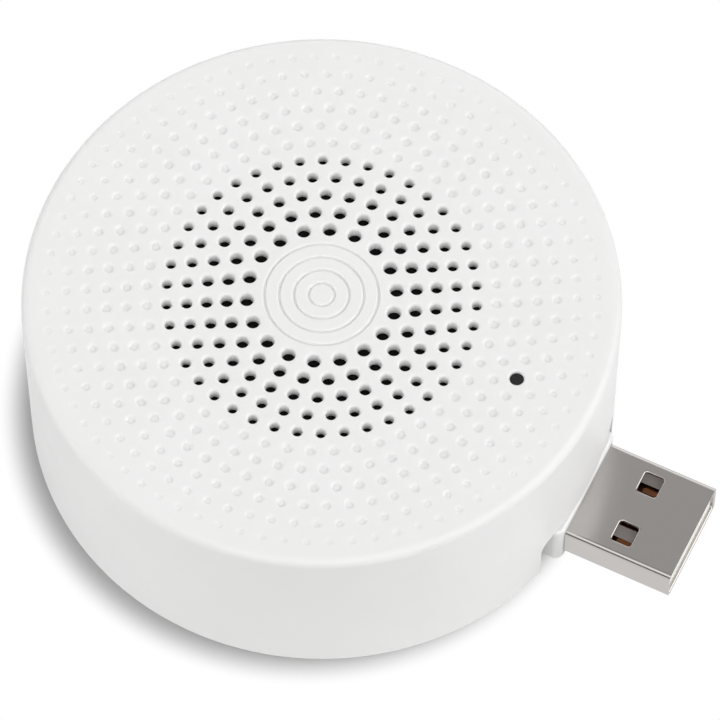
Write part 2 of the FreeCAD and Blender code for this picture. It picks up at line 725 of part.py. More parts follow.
def make_speaker():
    """Basket, magnet system, coil, cone and dust cap of the loudspeaker."""
    basket = turned_section("speaker_basket", [
        (speaker_radius, flange_bottom),
        (speaker_radius, flange_top),
        (basket_mouth, flange_top),
        ("basket_floor_radius", f"{basket_floor} + basket_sheet"),
        ("basket_bore", f"{basket_floor} + basket_sheet"),
        ("basket_bore", basket_floor),
        ("basket_floor_radius + basket_sheet / 2", basket_floor),
        (f"{basket_mouth} + basket_sheet", flange_bottom),
    ])
    window = new_sketch(basket, "window", height=flange_bottom)
    start = "basket_floor_radius + basket_window_start"
    end = f"{basket_mouth} - basket_window_end"
    draw_rectangle(window, start, end, "-basket_window_half", "basket_window_half")
    cut = pocket(basket, window, basket_depth)
    around(basket, [cut], window, BASKET_WINDOW_COUNT)

    turned_section("yoke", [
        ("0", yoke_bottom),
        ("yoke_radius", yoke_bottom),
        ("yoke_radius", basket_floor),
        ("yoke_radius - yoke_wall", basket_floor),
        ("yoke_radius - yoke_wall", magnet_bottom),
        ("0", magnet_bottom),
    ])
    make_disc("magnet", "magnet_radius", magnet_bottom, "magnet_height")
    make_disc("pole_plate", "pole_radius", f"{magnet_bottom} + magnet_height", "pole_height")

    coil = new_body("voice_coil")
    ring = new_sketch(coil, "ring", height=coil_bottom)
    draw_circle(ring, "coil_radius + coil_wall")
    draw_circle(ring, "coil_radius")
    pad(coil, ring, f"{coil_top} - {coil_bottom}")
    make_cone()


def make_disc(label, radius, height, thickness):
    body = new_body(label)
    disc = new_sketch(body, "disc", height=height)
    draw_circle(disc, radius)
    pad(body, disc, thickness)


def make_cone():
    """Cone with its surround, and the domed dust cap on its neck."""
    neck_end = "coil_radius + neck_width"
    cone_edge = f"({basket_mouth} - cone_margin)"
    surround_outer = f"({basket_mouth} + surround_lap)"
    plateau_start = f"{cone_edge} + surround_slope"
    plateau_end = f"{surround_outer} - surround_slope"
    plateau = f"({flange_top} + surround_rise)"
    underside = [
        ("coil_radius", coil_top),
        (neck_end, coil_top),
        (cone_edge, flange_top),
        (plateau_start, plateau),
        (plateau_end, plateau),
        (surround_outer, flange_top),
        (f"{speaker_radius} - surround_land", flange_top),
    ]
    upper_side = [(radius, f"{height} + cone_sheet") for radius, height in reversed(underside)]
    turned_section("speaker_cone", underside + upper_side)

    sheet_up = Vector(0, 0, size("cone_sheet"))
    cap_foot = worked_out(f"{coil_top} + cone_sheet")
    cap_rim = worked_out(neck_end)
    rise = size("dome_rise")
    dome_edge = Vector(cap_rim - size("dome_land"), 0, cap_foot)
    dome_top = Vector(0, 0, cap_foot + rise)
    sphere = (dome_edge.x ** 2 + rise ** 2) / (2 * rise)
    half_turn = math.asin(dome_edge.x / sphere) / 2
    dome_drop = sphere * (1 - math.cos(half_turn))
    dome_middle = Vector(sphere * math.sin(half_turn), 0, dome_top.z - dome_drop)
    rim = Vector(cap_rim, 0, cap_foot)
    lower = [
        Part.Arc(dome_top, dome_middle, dome_edge).toShape(),
        Part.LineSegment(dome_edge, rim).toShape(),
    ]
    plain_feature("dust_cap", turned_sheet(lower, dome_top, rim, sheet_up))


def turned_sheet(lower, start, end, thickness):
    """Turn a thin sheet about the upright axis, given the edges of its underside."""
    upper = [edge.translated(thickness) for edge in lower]
    ends = [
        Part.LineSegment(start, start + thickness).toShape(),
        Part.LineSegment(end, end + thickness).toShape(),
    ]
    outline = Part.Wire(Part.__sortEdges__(lower + upper + ends))
    solid = Part.Face(outline).revolve(Vector(), Vector(0, 0, 1), 360)
    return solid.Solids[0] if solid.Solids else Part.Solid(solid)


def make_terminals():
    """Terminal board under the basket's flange, with a blob of solder for each wire."""
    board = new_body("terminal_board")
    outline = new_sketch(board, "outline", height=flange_bottom)
    edges = (f"-{terminal_end}", f"-{terminal_start}")
    draw_rectangle(outline, *edges, "-terminal_board_half", "terminal_board_half")
    pad(board, outline, "terminal_board_sheet", reverse=True)

    solder_bottom = f"{terminal_underside} - terminal_height"
    places = [(f"-{terminal_place}", f"{side} * terminal_spread", solder_bottom) for side in (-1, 1)]
    blobs = [make_cylinder("solder", *place, "terminal_radius", "terminal_height") for place in places]
    group("speaker_terminals", blobs)


def group(label, members):
    """Identical separate solids under one name."""
    compound = doc.addObject("Part::Compound", label)
    compound.Label = label
    compound.Links = members
    sub_parts.append(compound)
    return compound


def make_connector_and_wires():
    """Connector on the board, and the two wires that come down to it from the terminals."""
    connector_place = f"connector_inset - {terminal_place}"
    body = make_block("speaker_connector", x=connector_place, y="0")
    ways = new_sketch(body, "wire_ways", height="speaker_connector_height")
    for side in (-1, 1):
        draw_circle(ways, "wire_radius + wire_way_gap", "0", f"{side} * wire_spread")
    pocket(body, ways, "wire_way_depth")

    wire_end = worked_out(f"{board_top} + speaker_connector_height - wire_way_depth")
    wire_start = worked_out(f"{terminal_underside} - terminal_height")
    start_x = -worked_out(terminal_place)
    end_x = worked_out(connector_place)
    drop = wire_start - wire_end
    for label, side in (("speaker_wire_red", 1), ("speaker_wire_black", -1)):
        start_y = side * size("terminal_spread")
        end_y = side * size("wire_spread")
        route = [
            Vector(start_x, start_y, wire_start),
            Vector(start_x, start_y, wire_start - size("wire_top_share") * drop),
            Vector(end_x, end_y, wire_end + size("wire_foot_share") * drop),
            Vector(end_x, end_y, wire_end),
        ]
        plain_feature(label, wire_along(route, size("wire_radius")))


def wire_along(route, radius):
    """A round wire along straight runs that are joined by tangent arcs."""
    edges = []
    last = route[0]
    for before, corner, after in zip(route, route[1:], route[2:]):
        incoming = (corner - before).normalize()
        outgoing = (after - corner).normalize()
        turn = incoming.getAngle(outgoing)
        shorter = min((corner - before).Length, (after - corner).Length)
        setback = WIRE_BEND_SHARE * shorter
        bend = setback / math.tan(turn / 2)
        arc_start = corner - incoming * setback
        arc_end = corner + outgoing * setback
        inward = (outgoing - incoming).normalize()
        arc_middle = corner + inward * (bend / math.cos(turn / 2) - bend)
        edges.append(Part.LineSegment(last, arc_start).toShape())
        edges.append(Part.Arc(arc_start, arc_middle, arc_end).toShape())
        print(f"wire bend radius {bend:.2f}")
        last = arc_end
    edges.append(Part.LineSegment(last, route[-1]).toShape())
    path = Part.Wire(edges)
    first_run = (route[1] - route[0]).normalize()
    profile = Part.Wire(Part.makeCircle(radius, route[0], first_run))
    return path.makePipeShell([profile], True, False)


def make_board():
    """Circuit board with its screw holes and the holes for the plug's pins and legs."""
    body = new_body("circuit_board", z=plug_top)
    disc = new_sketch(body, "disc")
    draw_circle(disc, board_radius)
    pad(body, disc, "board_thickness")
    tongue = new_sketch(body, "tongue")
    front = f"{screen_back} - board_front_gap"
    draw_rectangle(tongue, "0", front, "-board_tongue", "board_tongue")
    pad(body, tongue, "board_thickness")

    holes = new_sketch(body, "screw_holes", height="board_thickness")
    for across, along in STANDOFF_SIGNS:
        place = (f"{across} * standoff_place", f"{along} * standoff_place")
        draw_circle(holes, "board_shank_radius + shank_gap", *place)
    pocket(body, holes, "board_thickness")
    pins = new_sketch(body, "pin_holes", height="board_thickness")
    for place in ("contact_inner", "contact_outer"):
        for side in (-1, 1):
            draw_circle(pins, "pin_hole_radius", f"{pin_place} + contact_sheet / 2", f"{side} * {place}")
    pocket(body, pins, "board_thickness")
    slots = new_sketch(body, "leg_slots", height="board_thickness")
    reach = "(leg_length / 2 + leg_slot_gap)"
    for side in (-1, 1):
        near_side = f"{side} * (shell_width / 2 - shell_sheet - leg_slot_gap)"
        far_side = f"{side} * (shell_width / 2 + leg_slot_gap)"
        draw_rectangle(slots, f"{leg_place} - {reach}", f"{leg_place} + {reach}", near_side, far_side)
    pocket(body, slots, "board_thickness")


def leaded_chip(label, x=None, y=None):
    """A flat package on a comb of leads that show along its two long sides."""
    leads = LEAD_COUNTS[label]
    body = new_body(label, x=x or f"{label}_along", y=y or f"{label}_across", z=board_top)
    package = new_sketch(body, "package", height="package_stand")
    half_length = f"{label}_length / 2"
    half_width = f"{label}_width / 2"
    draw_rectangle(package, f"-{half_length}", half_length, f"-{half_width}", half_width)
    pad(body, package, f"{label}_height - package_stand")
    comb = new_sketch(body, "leads")
    reach = f"({half_width} + lead_reach)"
    for lead in range(leads):
        centre = f"({lead} + 0.5) * {label}_length / {leads} - {half_length}"
        sides = (f"{centre} - lead_width / 2", f"{centre} + lead_width / 2")
        draw_rectangle(comb, *sides, f"-{reach}", reach)
    pad(body, comb, "lead_sheet")


def make_electronics():
    """Parts soldered to the top of the board, under the loudspeaker."""
    leaded_chip("processor")
    leaded_chip("sound_memory")
    leaded_chip("audio_amplifier")
    leaded_chip("voltage_regulator", x=f"{pin_place} - regulator_setback", y="regulator_across")
    make_block("crystal")
    make_block("chip_antenna")
    make_block("radio_board")
    can = make_block("radio_shield", z=f"{board_top} + radio_board_height")
    round_edges(can, "shield_rounding", is_upright)
    choke = make_block("choke")
    round_edges(choke, "choke_rounding", is_upright)
    first = standing_capacitor(f"{pin_place} - first_capacitor_setback", "first_capacitor_across")
    second = standing_capacitor("second_capacitor_along", "second_capacitor_across")
    group("capacitors", [first, second])
    rows = ("inner_resistors", "outer_resistors")
    resistors = [resistor(f"{row}_along + {index} * resistor_spacing", f"{row}_across")
                 for row in rows for index in range(RESISTOR_COUNT)]
    group("chip_resistors", resistors)


def placed(primitive, x, y, z):
    for axis, place in (("x", x), ("y", y), ("z", z)):
        primitive.setExpression(f"Placement.Base.{axis}", bound(place))
    return primitive


def make_box(name, x, y, z, length, width, height):
    """A box centred on x and y that stands on z."""
    box = doc.addObject("Part::Box", name)
    box.setExpression("Length", bound(length))
    box.setExpression("Width", bound(width))
    box.setExpression("Height", bound(height))
    return placed(box, f"{x} - ({length}) / 2", f"{y} - ({width}) / 2", z)


def make_cylinder(name, x, y, z, radius, height):
    cylinder = doc.addObject("Part::Cylinder", name)
    cylinder.setExpression("Radius", bound(radius))
    cylinder.setExpression("Height", bound(height))
    return placed(cylinder, x, y, z)


def combine(kind, first, second):
    """Fuse or cut two solids."""
    result = doc.addObject(f"Part::{kind}", f"{first.Name}_{kind.lower()}")
    result.Base = first
    result.Tool = second
    return result


def standing_capacitor(x, y):
    """An electrolytic capacitor: a round can on a square base."""
    length = "capacitor_length"
    base = make_box("capacitor_base", x, y, board_top, length, "capacitor_width", "capacitor_base")
    can = make_cylinder("capacitor_can", x, y, board_top, "capacitor_radius", "capacitor_height")
    return combine("Fuse", base, can)


def resistor(x, y):
    return make_box("resistor", x, y, board_top, "resistor_length", "resistor_width", "resistor_height")


def screw(x, y, head_bottom, head, shank, points_up):
    """A slotted screw, head and shank given as pairs of radius and length."""
    head_radius, head_height = head
    shank_radius, shank_length = shank
    if points_up:
        slot_bottom = head_bottom
        shank_bottom = f"{head_bottom} + {head_height}"
    else:
        slot_bottom = f"{head_bottom} + {head_height} - screw_slot_depth"
        shank_bottom = f"{head_bottom} - {shank_length}"
    top = make_cylinder("screw_head", x, y, head_bottom, head_radius, head_height)
    stem = make_cylinder("screw_shank", x, y, shank_bottom, shank_radius, shank_length)
    # The slot's box reaches past the head on both sides
    slot_length = f"4 * {head_radius}"
    slot = make_box("screw_slot", x, y, slot_bottom, slot_length, "screw_slot", "screw_slot_depth")
    return combine("Cut", combine("Fuse", top, stem), slot)


def make_screws():
    """Screws of the base, of the board and of the loudspeaker."""
    base_head = ("base_head_radius", "base_head_height")
    base_shank = ("base_shank_radius", "base_shank_length")
    places = polar_places(screw_circle, POST_ANGLE, POST_COUNT)
    group("base_screws", [screw(*place, "base_head_recess", base_head, base_shank, True) for place in places])

    board_head = ("board_head_radius", "board_head_height")
    board_shank = ("board_shank_radius", "board_shank_length")
    places = [(f"{across} * standoff_place", f"{along} * standoff_place") for across, along in STANDOFF_SIGNS]
    group("board_screws", [screw(*place, board_top, board_head, board_shank, False) for place in places])

    clamp_head = ("clamp_head_radius", "clamp_head_height")
    clamp_shank = ("clamp_shank_radius", "clamp_shank_length")
    head_bottom = f"({flange_bottom} - clamp_head_height)"
    places = polar_places(clamp_circle, CLAMP_ANGLE, CLAMP_COUNT)
    group("speaker_screws", [screw(*place, head_bottom, clamp_head, clamp_shank, True) for place in places])


def make_plug_shell():
    """Folded steel shell of the plug, with its four windows and its two soldered legs."""
    body = new_body("usb_shell")
    outside = new_sketch(body, "outside", "YZ_Plane", height=shell_rear)
    draw_rectangle(outside, "-shell_width / 2", "shell_width / 2", "plug_bottom", plug_top)
    pad(body, outside, "shell_length")
    round_edges(body, "shell_corner", is_along_plug)
    leg = new_sketch(body, "legs", height=f"{plug_top} - 2 * shell_corner")
    for side in (-1, 1):
        sheet_sides = (f"{side} * (shell_width / 2 - shell_sheet)", f"{side} * shell_width / 2")
        draw_rectangle(leg, f"{leg_place} - leg_length / 2", f"{leg_place} + leg_length / 2", *sheet_sides)
    pad(body, leg, "2 * shell_corner + board_thickness + leg_rise")
    inside = new_sketch(body, "inside", "YZ_Plane", height=f"{shell_rear} + shell_length")
    half = "(shell_width / 2 - shell_sheet)"
    draw_rectangle(inside, f"-{half}", half, "plug_bottom + shell_sheet", f"{plug_top} - shell_sheet")
    pocket(body, inside, "shell_length")
    round_edges(body, "shell_corner - shell_sheet", is_inner_plug_edge)
    windows = new_sketch(body, "windows", height=plug_top)
    middle = f"({plug_tip} - window_from_tip)"
    for side in (-1, 1):
        near_side = f"{side} * window_offset - window_width / 2"
        far_side = f"{side} * window_offset + window_width / 2"
        ends = (f"{middle} - window_length / 2", f"{middle} + window_length / 2")
        draw_rectangle(windows, *ends, near_side, far_side)
    pocket(body, windows, "shell_height")


def is_inner_plug_edge(edge):
    """Whether an edge is one of the four long ones inside the shell."""
    inner_half = size("shell_width") / 2 - size("shell_sheet")
    inner_low = size("plug_bottom") + size("shell_sheet")
    inner_high = size("plug_bottom") + size("shell_height") - size("shell_sheet")
    middle = edge.CenterOfMass
    at_corner = near(middle.z, inner_low) or near(middle.z, inner_high)
    return is_along_plug(edge) and near(abs(middle.y), inner_half) and at_corner


def make_plug_inside():
    """Insulator with its tongue, and the four contacts that lie in it."""
    body = new_body("usb_insulator")
    section = new_sketch(body, "section", "XZ_Plane")
    low = "plug_bottom + shell_sheet"
    high = f"{plug_top} - shell_sheet - insulator_gap"
    block_end = f"{shell_rear} + insulator_block"
    tongue_end = f"{plug_tip} - tongue_recess"
    draw_outline(section, [
        (shell_rear, low),
        (tongue_end, low),
        (tongue_end, tongue_top),
        (block_end, tongue_top),
        (block_end, high),
        (shell_rear, high),
    ])
    pad(body, section, "shell_width - 2 * shell_sheet - 2 * insulator_gap", symmetric=True)
    round_edges(body, "shell_corner - shell_sheet", is_along_plug)
    channels = new_sketch(body, "channels", "YZ_Plane", height=shell_rear)
    contact_low = f"({tongue_top} + contact_proud - contact_sheet)"
    contacts = []
    for place in ("contact_inner", "contact_outer"):
        for side in (-1, 1):
            centre = f"{side} * {place}"
            left = f"{centre} - contact_width / 2"
            right = f"{centre} + contact_width / 2"
            draw_rectangle(channels, left, right, contact_low, f"{contact_low} + contact_sheet")
            contacts.append(plug_contact(centre, f"{place}_recess", contact_low))
    pocket(body, channels, "shell_length", reverse=True)
    group("usb_contacts", contacts)


def plug_contact(centre, recess, low):
    """One contact: a flat strip on the tongue and a pin that turns up through the board."""
    length = f"({plug_tip} - {recess} - {pin_place})"
    middle = f"{pin_place} + {length} / 2"
    strip = make_box("contact_strip", middle, centre, low, length, "contact_width", "contact_sheet")
    rise = f"({board_top} + leg_rise - {low})"
    pin_middle = f"{pin_place} + contact_sheet / 2"
    pin = make_box("contact_pin", pin_middle, centre, low, "contact_sheet", "pin_width", rise)
    return combine("Fuse", strip, pin)


def check_and_write():
    """Stop on any failed object or bad shape, then write one file for each sub-part."""
    doc.recompute()
    for item in doc.Objects:
        if "Invalid" in item.State or "Error" in item.State:
            raise RuntimeError(f"{item.Label} failed: {item.State}")
    for sub_part in sub_parts:
        shape = sub_part.Shape
        if shape.isNull() or not shape.isValid() or not shape.Solids:
            raise RuntimeError(f"{sub_part.Label} has no sound shape")
    os.makedirs("parts", exist_ok=True)
    for sub_part in sub_parts:
        sub_part.Shape.exportStep(f"parts/{sub_part.Label}.step")
        box = sub_part.Shape.BoundBox
        extent = f"{box.XLength:.2f} x {box.YLength:.2f} x {box.ZLength:.2f}"
        solids = len(sub_part.Shape.Solids)
        print(f"{sub_part.Label}: {solids} solid, {sub_part.Shape.Volume:.1f} mm3, {extent} mm")


make_housing()
make_base_cover()
make_grille_parts()
make_light()
make_speaker()
make_terminals()
make_connector_and_wires()
make_board()
make_electronics()
make_plug_shell()
make_plug_inside()
make_screws()
check_and_write()
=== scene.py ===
"""Looks of the USB doorbell chime: its finishes, the dimpled top, the light and the camera.

Metres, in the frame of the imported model: the origin is the centre of the underside, +Z goes up
through the grille and +X runs along the plug.
"""
import json
import math

import bmesh
import bpy
from mathutils import Matrix, Vector
from mathutils.geometry import delaunay_2d_cdt

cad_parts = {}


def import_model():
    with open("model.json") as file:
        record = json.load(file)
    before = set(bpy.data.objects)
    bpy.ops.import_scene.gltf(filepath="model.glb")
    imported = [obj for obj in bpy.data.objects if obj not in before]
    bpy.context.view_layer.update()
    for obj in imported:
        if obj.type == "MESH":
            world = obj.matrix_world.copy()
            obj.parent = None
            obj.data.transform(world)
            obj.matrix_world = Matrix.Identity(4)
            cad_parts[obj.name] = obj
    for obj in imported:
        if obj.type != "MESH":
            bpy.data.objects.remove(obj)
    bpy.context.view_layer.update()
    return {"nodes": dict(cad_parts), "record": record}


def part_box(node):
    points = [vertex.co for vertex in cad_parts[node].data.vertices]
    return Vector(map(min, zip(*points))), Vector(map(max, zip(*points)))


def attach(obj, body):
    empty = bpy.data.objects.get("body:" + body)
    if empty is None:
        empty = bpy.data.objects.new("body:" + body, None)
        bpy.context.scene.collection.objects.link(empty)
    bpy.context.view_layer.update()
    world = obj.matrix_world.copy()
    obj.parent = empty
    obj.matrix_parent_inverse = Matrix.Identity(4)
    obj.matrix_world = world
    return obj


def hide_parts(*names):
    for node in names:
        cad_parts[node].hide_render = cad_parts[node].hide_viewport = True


MM = 0.001

# Camera, fitted to the photograph, whose frame is 720 by 720 pixels. The sensor is in millimetres
PHOTO_SIDE = 720
SENSOR = 36.0
FOCAL_PIXELS = 5961.44
TOP_CENTRE_PIXEL = (321.73, 294.2)
CAMERA_ELEVATION = math.radians(61.53)
CAMERA_AZIMUTH = math.radians(26.54)
CAMERA_ROLL = math.radians(0.52)
CAMERA_DISTANCE = 624.1 * MM
CAMERA_CLIP_START = 10 * MM

# Meshes: points this near are joined, places this near are the same, and edges that turn by more
# than the crease stay sharp
WELD_DISTANCE = 1e-7
SAME_PLACE = 1e-6
CREASE = math.radians(32)

# Engraved rings in the centre of the top. The groove is given from its outer side to its inner one,
# as distance from its middle in half widths and share of its depth
CENTRE_RADIUS = 6.0 * MM
CENTRE_RING_PITCH = 1.55 * MM
CENTRE_RINGS = 4
CENTRE_SEGMENTS = 96
ENGRAVING_WIDTH = 0.35 * MM
ENGRAVING_DEPTH = 0.25 * MM
GROOVE = [(1.25, 0.0), (0.95, 0.15), (0.65, 0.75), (0.3, 1.0), (-0.3, 1.0), (-0.65, 0.75),
          (-0.95, 0.15), (-1.25, 0.0)]

# Holes of the grille, and how round their mouths are
HOLE_RINGS = 5
HOLES_IN_FIRST_RING = 18
MORE_PER_RING = 6
RING_TURN = math.radians(30)
HOLE_ROUNDING = 0.33 * MM
ROUNDING_STEPS = 4

# Dimples round the grille. Their radius and depth are given for the full rings and for the last
# one, and their profile as distance outward from the radius in roundings and share of the depth
DIMPLE_RINGS = 6
FULL_DIMPLE_RINGS = 2
DIMPLE_SEGMENTS = 16
DIMPLE_RADII = (0.43 * MM, 0.30 * MM)
DIMPLE_DEPTHS = (0.34 * MM, 0.12 * MM)
DIMPLE_ROUNDING = 0.20 * MM
DIMPLE_PROFILE = [(2.2, 0.0), (1.3, 0.07), (0.7, 0.22), (0.3, 0.42), (0.1, 0.62), (-0.1, 0.82),
                  (-0.3, 0.95), (-0.6, 1.0)]

# Filling between the rims in the top, in millimetres
FILL_TOLERANCE = 1e-6

# Plug: faces that turn by less than the flat angle are one, only edges that turn by more than the
# square angle belong to a window, and the mouth's middle lies at least this far before a face
# inside it
FLAT_ANGLE = math.radians(0.5)
SQUARE_ANGLE = math.radians(60)
MOUTH_AHEAD = 0.1 * MM

# Plug: softened edges of its windows and its mouth
WINDOW_CORNER = 0.30 * MM
WINDOW_CORNER_STEPS = 6
WINDOW_RIM = 0.15 * MM
WINDOW_RIM_STEPS = 4
LEAD_IN = 0.20 * MM
LEAD_IN_STEPS = 3

# Noise: the values between which most of it lies, the size of a mould's grain, and patches, lines
# or threads in a metre
NOISE_LOW = 0.3
NOISE_HIGH = 0.7
MOULD_GRAIN = 0.10 * MM
PLASTIC_TONE_PATCHES = 90.0
PLASTIC_GLOSS_PATCHES = 220.0
METAL_CLOUDS = 160.0
METAL_LINES = 9000.0
CLOTH_THREADS = 1600.0
COATED_TONE_PATCHES = 300.0
COATED_SMUDGES = 500.0

# Directions of brushed lines, as the stretch of their noise
LINES_ALONG = (0.02, 1, 1)
LINES_AROUND = (1, 1, 30)
NO_LINES = (1, 1, 1)

# Surfaces: a spread is how far the roughness varies either way, a bump has a strength and a height,
# and the shares are of a surface's roughness and of its colour
PLASTIC_GLOSS_SPREAD = 0.05
PLASTIC_BUMP = (0.12, 0.02 * MM)
METAL_GLOSS_SPREAD = 0.02
METAL_BUMP = (0.04, 0.01 * MM)
CLOTH_BUMP = (0.5, 0.05 * MM)
SMUDGE_SHARES = (0.7, 1.4)
COATED_DARK_SHARE = 0.85
COAT_WEIGHT = 0.3
MATT_ROUGHNESS = 0.9
MATT_SPECULAR = 0.1
HOUSING_TRANSLUCENCY = 0.18 * MM
TONGUE_ROUGHNESS = 0.45
# Stretch at the tongue's end over which its painted shade turns to the pale plastic
TONGUE_PALE_END = 0.3 * MM

# Table. Its painted shadow lies close to the casing, a little to the camera's left: distances from
# the shadow's middle. The camera sees a darker grey in it, a painted shade, and FLOOR_BOUNCE lights
# the casing's side
FLOOR_REACH = 1.5
FLOOR_DROP = 0.02 * MM
FLOOR_SHADOW_INNER = 29.5 * MM
FLOOR_SHADOW_OUTER = 33.4 * MM
FLOOR_SHADOW_SHIFT = 2.1 * MM
FLOOR_SHADOW_TURN = -56
# The darker grey that only the camera sees in the shadow, a painted shade
FLOOR_PAINTED_SHADE = (0.43, 0.43, 0.43)
FLOOR_BOUNCE = (0.78, 0.78, 0.78)

# Broad soft lights of the tent: turn from the camera to its right and height, both in degrees, and
# strength. A light is full within the inner angle from its middle and gone beyond the outer one
TENT_LIGHTS = {
    "front": (0, 45, 2.22),
    "right": (85, 45, 1.34),
    "right_low": (90, 15, 1.38),
    "left": (-90, 45, 0.52),
    "left_low": (-90, 15, 1.36),
    "back_low": (180, 15, 1.38),
    "back_high": (180, 61.5, 0.41),
}
LIGHT_INNER = math.radians(10)
LIGHT_OUTER = math.radians(40)
TENT_WHITE = 0.09


# Nodes of materials and of the world

def add_node(owner, kind, **settings):
    """A node whose inputs and own settings are given by name."""
    node = owner.node_tree.nodes.new(kind)
    for name, value in settings.items():
        if name in node.inputs.keys():
            node.inputs[name].default_value = value
        else:
            setattr(node, name, value)
    return node


def link(owner, source, target):
    owner.node_tree.links.new(source, target)


def combine(owner, operation, first, second):
    """One number made from two."""
    node = add_node(owner, "ShaderNodeMath", operation=operation)
    link(owner, first, node.inputs[0])
    link(owner, second, node.inputs[1])
    return node.outputs["Value"]


def remap(owner, value, start, end, low=0.0, high=1.0, curve="LINEAR"):
    """Carry the range from start to end over to the range from low to high."""
    node = add_node(owner, "ShaderNodeMapRange", interpolation_type=curve)
    node.inputs["From Min"].default_value = start
    node.inputs["From Max"].default_value = end
    node.inputs["To Min"].default_value = low
    node.inputs["To Max"].default_value = high
    link(owner, value, node.inputs["Value"])
    return node.outputs["Result"]


# Materials

def new_material(name):
    """A new material and its shader."""
    material = bpy.data.materials.new(name)
    material.use_nodes = True
    return material, material.node_tree.nodes["Principled BSDF"]


def object_place(material):
    return add_node(material, "ShaderNodeTexCoord").outputs["Object"]


def grain(material, scale, detail, stretch=(1, 1, 1)):
    """Noise fixed to the object, optionally drawn out along an axis."""
    mapping = add_node(material, "ShaderNodeMapping", Scale=stretch)
    noise = add_node(material, "ShaderNodeTexNoise", Scale=scale, Detail=detail)
    link(material, object_place(material), mapping.inputs["Vector"])
    link(material, mapping.outputs["Vector"], noise.inputs["Vector"])
    return noise.outputs["Fac"]


def spread(material, noise, low, high):
    """Spread noise over a range."""
    return remap(material, noise, NOISE_LOW, NOISE_HIGH, low, high)


def blend_colours(material, share, first, second):
    mix = add_node(material, "ShaderNodeMix", data_type="RGBA")
    mix.inputs["A"].default_value = (*first, 1)
    mix.inputs["B"].default_value = (*second, 1)
    link(material, share, mix.inputs["Factor"])
    return mix.outputs["Result"]


def roughen(material, shader, height, bump):
    strength, distance = bump
    node = add_node(material, "ShaderNodeBump", Strength=strength, Distance=distance)
    link(material, height, node.inputs["Height"])
    link(material, node.outputs["Normal"], shader.inputs["Normal"])


def make_matt(shader):
    shader.inputs["Roughness"].default_value = MATT_ROUGHNESS
    shader.inputs["Specular IOR Level"].default_value = MATT_SPECULAR


def texture_plastic(material, shader, roughness):
    """The uneven gloss and the fine bumps that a lightly textured mould leaves."""
    patches = grain(material, PLASTIC_GLOSS_PATCHES, detail=4.0)
    dull = roughness + PLASTIC_GLOSS_SPREAD
    clear = roughness - PLASTIC_GLOSS_SPREAD
    link(material, spread(material, patches, clear, dull), shader.inputs["Roughness"])
    roughen(material, shader, grain(material, 1 / MOULD_GRAIN, detail=2.0), PLASTIC_BUMP)


def moulded_plastic(name, colour, shade, roughness, translucency=0.0):
    """Satin plastic from a lightly textured mould, with faint unevenness of tone."""
    material, shader = new_material(name)
    if translucency:
        shader.inputs["Subsurface Weight"].default_value = 1.0
        shader.inputs["Subsurface Radius"].default_value = (1, 1, 1)
        shader.inputs["Subsurface Scale"].default_value = translucency
    tone = spread(material, grain(material, PLASTIC_TONE_PATCHES, detail=2.0), 0.0, 1.0)
    link(material, blend_colours(material, tone, colour, shade), shader.inputs["Base Color"])
    texture_plastic(material, shader, roughness)
    return material


def tongue_plastic(name, pale, painted_shade_grey, end):
    """The tongue's plastic: pale at its end, with painted shade where it shows through the windows.
    """
    material, shader = new_material(name)
    parts = add_node(material, "ShaderNodeSeparateXYZ")
    link(material, object_place(material), parts.inputs["Vector"])
    # Painted shade: grey inside the shell, turning to the pale plastic over the last stretch to the
    # end
    share = remap(material, parts.outputs["X"], end - TONGUE_PALE_END, end)
    link(material, blend_colours(material, share, painted_shade_grey, pale), shader.inputs["Base Color"])
    texture_plastic(material, shader, TONGUE_ROUGHNESS)
    return material


def brushed_metal(name, colour, shade, roughness, lines):
    """Metal with fine brushed lines and faint clouds in its tone and gloss."""
    material, shader = new_material(name)
    shader.inputs["Metallic"].default_value = 1.0
    clouds = grain(material, METAL_CLOUDS, detail=1.0)
    tone = spread(material, clouds, 0.0, 1.0)
    link(material, blend_colours(material, tone, colour, shade), shader.inputs["Base Color"])
    dull = roughness + METAL_GLOSS_SPREAD
    clear = roughness - METAL_GLOSS_SPREAD
    link(material, spread(material, clouds, clear, dull), shader.inputs["Roughness"])
    roughen(material, shader, grain(material, METAL_LINES, detail=2.0, stretch=lines), METAL_BUMP)
    return material


def woven_cloth(name, colour, thread):
    """Fine black mesh cloth: two crossing waves of thread."""
    material, shader = new_material(name)
    make_matt(shader)
    place = object_place(material)
    heights = []
    for direction in ("X", "Y"):
        wave = add_node(material, "ShaderNodeTexWave", bands_direction=direction,
                        Scale=CLOTH_THREADS)
        link(material, place, wave.inputs["Vector"])
        heights.append(wave.outputs["Fac"])
    weave = combine(material, "MAXIMUM", *heights)
    link(material, blend_colours(material, weave, colour, thread), shader.inputs["Base Color"])
    roughen(material, shader, weave, CLOTH_BUMP)
    return material


def coated_gloss(name, colour, roughness):
    """Smooth dark or coloured surface with a thin coat and a trace of unevenness in its gloss."""
    material, shader = new_material(name)
    shader.inputs["Coat Weight"].default_value = COAT_WEIGHT
    tone = spread(material, grain(material, COATED_TONE_PATCHES, detail=3.0), 0.0, 1.0)
    darker = tuple(COATED_DARK_SHARE * part for part in colour)
    link(material, blend_colours(material, tone, colour, darker), shader.inputs["Base Color"])
    smudges = grain(material, COATED_SMUDGES, detail=4.0)
    clear, dull = (roughness * share for share in SMUDGE_SHARES)
    link(material, spread(material, smudges, clear, dull), shader.inputs["Roughness"])
    return material


